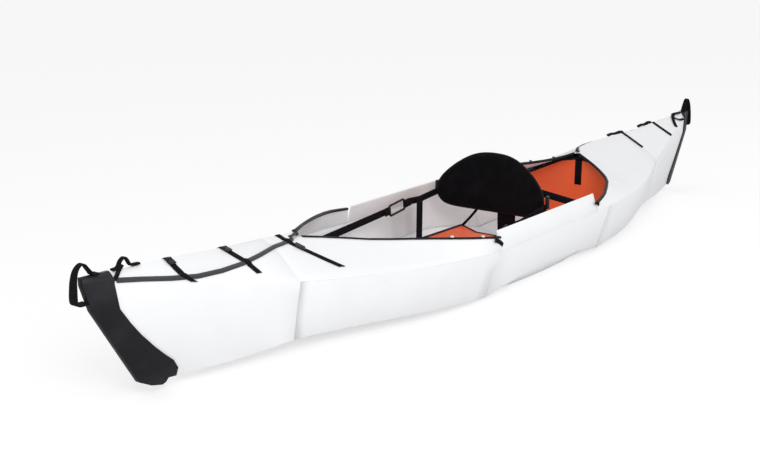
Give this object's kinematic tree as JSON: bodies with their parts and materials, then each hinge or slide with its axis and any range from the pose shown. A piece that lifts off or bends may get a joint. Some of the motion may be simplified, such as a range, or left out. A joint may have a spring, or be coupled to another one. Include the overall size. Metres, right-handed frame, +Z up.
{
  "type": "folding kayak",
  "caption": "Folding kayak of creased white plastic sheet with an open cockpit, orange seat, black backrest, seam channels, end caps and webbing.",
  "frame": {"origin": "centre of the bounding box at its bottom, on the plane the flat bottom stands on", "axes": "+X along the boat towards the stern, +Y towards starboard, +Z up"},
  "size_m": [3.7092, 0.6336, 0.4125],
  "materials": {
    "white_shell": "smooth twin-wall sheet",
    "orange_sheet": "smooth twin-wall sheet",
    "grey_channel": "extruded",
    "black_cap": "fine grain",
    "black_trim": "extruded edge binding",
    "black_webbing": "woven",
    "black_foam": "fabric over foam",
    "black_plastic": "moulded"
  },
  "bodies": {
    "hull": {"bottom_panel_bow": "white_shell", "bottom_panel_mid": "white_shell", "bottom_panel_stern": "white_shell", "deck_bow": "white_shell", "deck_stern": "white_shell", "cockpit_wall_port": "white_shell", "cockpit_wall_starboard": "white_shell", "foredeck_port": "white_shell", "foredeck_starboard": "white_shell", "rear_deck_port": "white_shell", "rear_deck_starboard": "white_shell", "side_panel_port_aft": "white_shell", "side_panel_port_bow": "white_shell", "side_panel_port_fore": "white_shell", "side_panel_port_mid": "white_shell", "side_panel_port_stern": "white_shell", "side_panel_starboard_aft": "white_shell", "side_panel_starboard_bow": "white_shell", "side_panel_starboard_fore": "white_shell", "side_panel_starboard_mid": "white_shell", "side_panel_starboard_stern": "white_shell", "seat_board": "orange_sheet", "seat_riser": "orange_sheet", "bow_seam_channel": "grey_channel", "stern_seam_channel": "grey_channel", "bow_cap": "black_cap", "stern_cap": "black_cap", "rim_trim_port_front": "black_trim", "rim_trim_port_rear": "black_trim", "rim_trim_starboard_front": "black_trim", "rim_trim_starboard_rear": "black_trim", "bow_handle": "black_webbing", "stern_handle": "black_webbing", "bow_deck_strap_front": "black_webbing", "bow_deck_strap_rear": "black_webbing", "cockpit_strap": "black_webbing", "stern_deck_strap_front": "black_webbing", "stern_deck_strap_rear": "black_webbing", "bow_tie_cord": "black_webbing", "stern_tie_strap": "black_webbing", "seat_girth_strap": "black_webbing", "backrest_tether": "black_webbing", "backrest_webbing": "black_webbing", "rear_strap_port": "black_webbing", "rear_strap_starboard": "black_webbing", "side_strap_port_front": "black_webbing", "side_strap_port_rear": "black_webbing", "side_strap_starboard_front": "black_webbing", "side_strap_starboard_rear": "black_webbing", "bow_buckle_front": "black_plastic", "bow_buckle_rear": "black_plastic", "cockpit_buckle": "black_plastic", "strap_buckle_port": "black_plastic", "strap_buckle_starboard": "black_plastic"},
    "backrest": {"backrest_pad": "black_foam", "backrest_board": "black_plastic"},
    "bulkhead": {"rear_bulkhead": "orange_sheet", "bulkhead_strap": "black_webbing"},
    "brace": {"foot_brace": "orange_sheet"}
  },
  "joints": [
    {"name": "backrest_fold", "type": "hinge", "parent": "hull", "child": "backrest", "pos_m": [0.088, 0, 0.175], "axis": [0, 1, 0], "range_deg": [-80, 10], "deforming": ["backrest_tether", "backrest_webbing", "rear_strap_port", "rear_strap_starboard", "side_strap_port_rear", "side_strap_starboard_rear"]},
    {"name": "bulkhead_tilt", "type": "hinge", "parent": "hull", "child": "bulkhead", "pos_m": [0.738, 0, 0.0053], "axis": [0, -1, 0], "range_deg": [0, 25]},
    {"name": "foot_brace_slide", "type": "slide", "parent": "hull", "child": "brace", "axis": [1, 0, 0], "range_m": [0, 0.25]}
  ]
}
